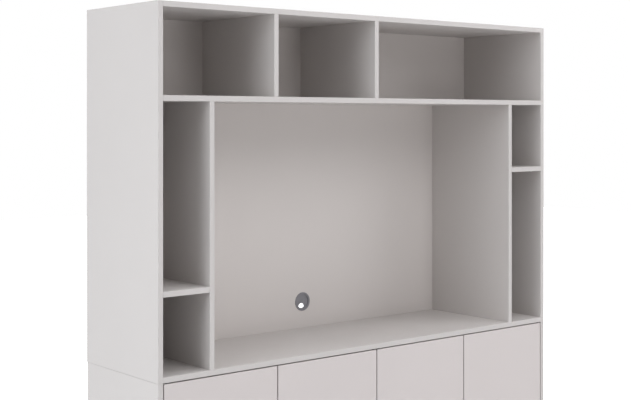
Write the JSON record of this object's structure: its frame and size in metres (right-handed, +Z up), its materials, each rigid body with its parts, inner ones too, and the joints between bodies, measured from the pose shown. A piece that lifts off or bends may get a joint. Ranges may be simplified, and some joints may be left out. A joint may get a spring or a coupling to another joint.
{
  "type": "tv stand",
  "caption": "Wall unit for a television: an open hutch with a wide tv niche, side columns and top bays, on a closed base with flush doors that open by a push.",
  "frame": {"origin": "on the floor, under the middle of the unit's outer box", "axes": "+X along the width to the right seen from the front, +Y from the front edges to the wall, +Z up"},
  "size_m": [1.8, 0.444, 1.77],
  "materials": {
    "carcass_laminate": "matt warm light grey melamine on particle board",
    "door_laminate": "matt warm light grey melamine on particle board",
    "back_panel_laminate": "matt warm light grey melamine on thin board",
    "grommet_plastic": "mid grey moulded plastic",
    "latch_plastic": "light grey moulded plastic",
    "bush_plastic": "white nylon",
    "beech": "bare beech",
    "zinc": "die-cast zinc",
    "steel": "bright zinc plated steel"
  },
  "bodies": {
    "root": {"base_back": "back_panel_laminate", "base_bottom": "carcass_laminate", "base_partition": "carcass_laminate", "base_shelf_left": "carcass_laminate", "base_shelf_right": "carcass_laminate", "base_side_left": "carcass_laminate", "base_side_right": "carcass_laminate", "base_top": "carcass_laminate", "cam_bolts": "steel", "cam_locks": "zinc", "column_shelf_left": "carcass_laminate", "column_shelf_right": "carcass_laminate", "dowels": "beech", "glides": "bush_plastic", "grommet_sleeve": "grommet_plastic", "hutch_back_lower": "back_panel_laminate", "hutch_back_upper": "back_panel_laminate", "hutch_bottom_board": "carcass_laminate", "hutch_mid_board": "carcass_laminate", "hutch_side_left": "carcass_laminate", "hutch_side_right": "carcass_laminate", "hutch_top": "carcass_laminate", "joining_screws": "steel", "latch_housing_centre_left": "latch_plastic", "latch_housing_centre_right": "latch_plastic", "latch_housing_far_left": "latch_plastic", "latch_housing_far_right": "latch_plastic", "latch_screws": "steel", "niche_divider_left": "carcass_laminate", "niche_divider_right": "carcass_laminate", "pivot_plate_screws": "steel", "pivot_plates_centre_left": "steel", "pivot_plates_centre_right": "steel", "pivot_plates_far_left": "steel", "pivot_plates_far_right": "steel", "plinth_front": "carcass_laminate", "plinth_rear": "carcass_laminate", "shelf_pins": "steel", "top_divider_left": "carcass_laminate", "top_divider_right": "carcass_laminate", "wall_bracket_screws": "steel", "wall_brackets": "steel"},
    "door_far_left": {"door_far_left": "door_laminate", "pivot_bushes_far_left": "bush_plastic"},
    "latch_plunger_far_left": {"latch_plunger_far_left": "latch_plastic"},
    "door_centre_left": {"door_centre_left": "door_laminate", "pivot_bushes_centre_left": "bush_plastic"},
    "latch_plunger_centre_left": {"latch_plunger_centre_left": "latch_plastic"},
    "door_centre_right": {"door_centre_right": "door_laminate", "pivot_bushes_centre_right": "bush_plastic"},
    "latch_plunger_centre_right": {"latch_plunger_centre_right": "latch_plastic"},
    "door_far_right": {"door_far_right": "door_laminate", "pivot_bushes_far_right": "bush_plastic"},
    "latch_plunger_far_right": {"latch_plunger_far_right": "latch_plastic"},
    "grommet_cap": {"grommet_cap": "grommet_plastic"}
  },
  "joints": [
    {"name": "door_far_left_pivot", "type": "hinge", "parent": "root", "child": "door_far_left", "pos_m": [-0.8685, -0.216, 0.5765], "axis": [0, 0, -1], "range_deg": [0, 110]},
    {"name": "door_centre_left_pivot", "type": "hinge", "parent": "root", "child": "door_centre_left", "pos_m": [-0.01175, -0.216, 0.5765], "axis": [0, 0, 1], "range_deg": [0, 90]},
    {"name": "door_centre_right_pivot", "type": "hinge", "parent": "root", "child": "door_centre_right", "pos_m": [0.01175, -0.216, 0.5765], "axis": [0, 0, -1], "range_deg": [0, 90]},
    {"name": "door_far_right_pivot", "type": "hinge", "parent": "root", "child": "door_far_right", "pos_m": [0.8685, -0.216, 0.5765], "axis": [0, 0, 1], "range_deg": [0, 110]},
    {"name": "latch_plunger_far_left_press", "type": "slide", "parent": "root", "child": "latch_plunger_far_left", "axis": [0, 1, 0], "range_m": [0, 0.0025], "stiffness_N_per_m": 400, "springref_m": -0.003},
    {"name": "latch_plunger_centre_left_press", "type": "slide", "parent": "root", "child": "latch_plunger_centre_left", "axis": [0, 1, 0], "range_m": [0, 0.0025], "stiffness_N_per_m": 400, "springref_m": -0.003},
    {"name": "latch_plunger_centre_right_press", "type": "slide", "parent": "root", "child": "latch_plunger_centre_right", "axis": [0, 1, 0], "range_m": [0, 0.0025], "stiffness_N_per_m": 400, "springref_m": -0.003},
    {"name": "latch_plunger_far_right_press", "type": "slide", "parent": "root", "child": "latch_plunger_far_right", "axis": [0, 1, 0], "range_m": [0, 0.0025], "stiffness_N_per_m": 400, "springref_m": -0.003},
    {"name": "grommet_cap_turn", "type": "hinge", "parent": "root", "child": "grommet_cap", "pos_m": [0, 0.1965, 0.697], "axis": [0, 1, 0], "continuous": true}
  ]
}
